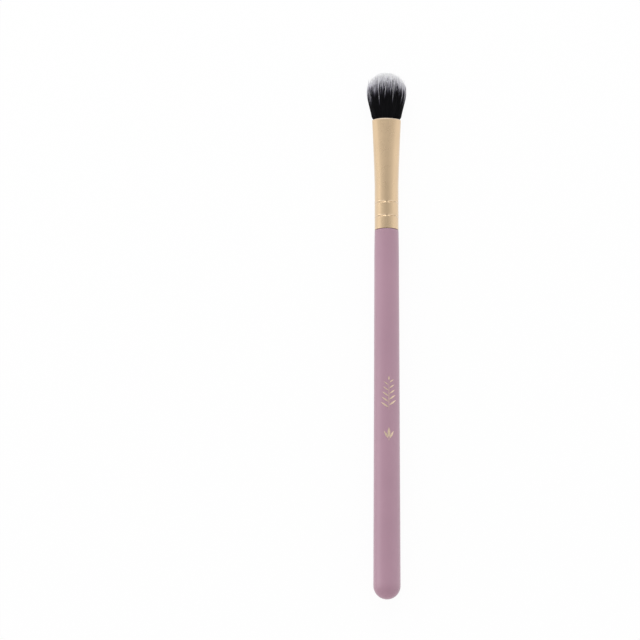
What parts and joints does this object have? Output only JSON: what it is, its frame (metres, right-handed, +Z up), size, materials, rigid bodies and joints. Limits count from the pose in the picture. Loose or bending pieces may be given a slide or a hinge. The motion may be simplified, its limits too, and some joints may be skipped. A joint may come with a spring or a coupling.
{
  "type": "blending brush",
  "caption": "Slim eye make-up blending brush with a dome-shaped two-tone tuft, a crimped gold-toned oval ferrule and a tapered satin rose handle.",
  "frame": {"origin": "on the surface that the brush lies on, under the middle of its length and width", "axes": "+Y along the brush from the butt of the handle to the crown of the tuft, +Z up from the surface it lies on, X across the wide side of the oval tuft"},
  "size_m": [0.012, 0.165, 0.0082],
  "materials": {
    "handle_lacquer": "turned hardwood under smooth satin lacquer in muted rose pink",
    "ferrule_aluminium": "drawn tube, satin champagne gold anodised",
    "tuft_filament": "crimped synthetic filament, dyed black with bleached pale grey tips",
    "binding_cotton": "undyed twisted cotton thread",
    "cast_resin": "cast amber epoxy, glossy",
    "wood_glue": "dried cream-coloured adhesive film"
  },
  "bodies": {
    "root": {"handle": "handle_lacquer", "ferrule": "ferrule_aluminium", "bristle_tuft": "tuft_filament", "binding_thread": "binding_cotton", "resin_plug": "cast_resin", "tenon_glue": "wood_glue"}
  },
  "joints": []
}
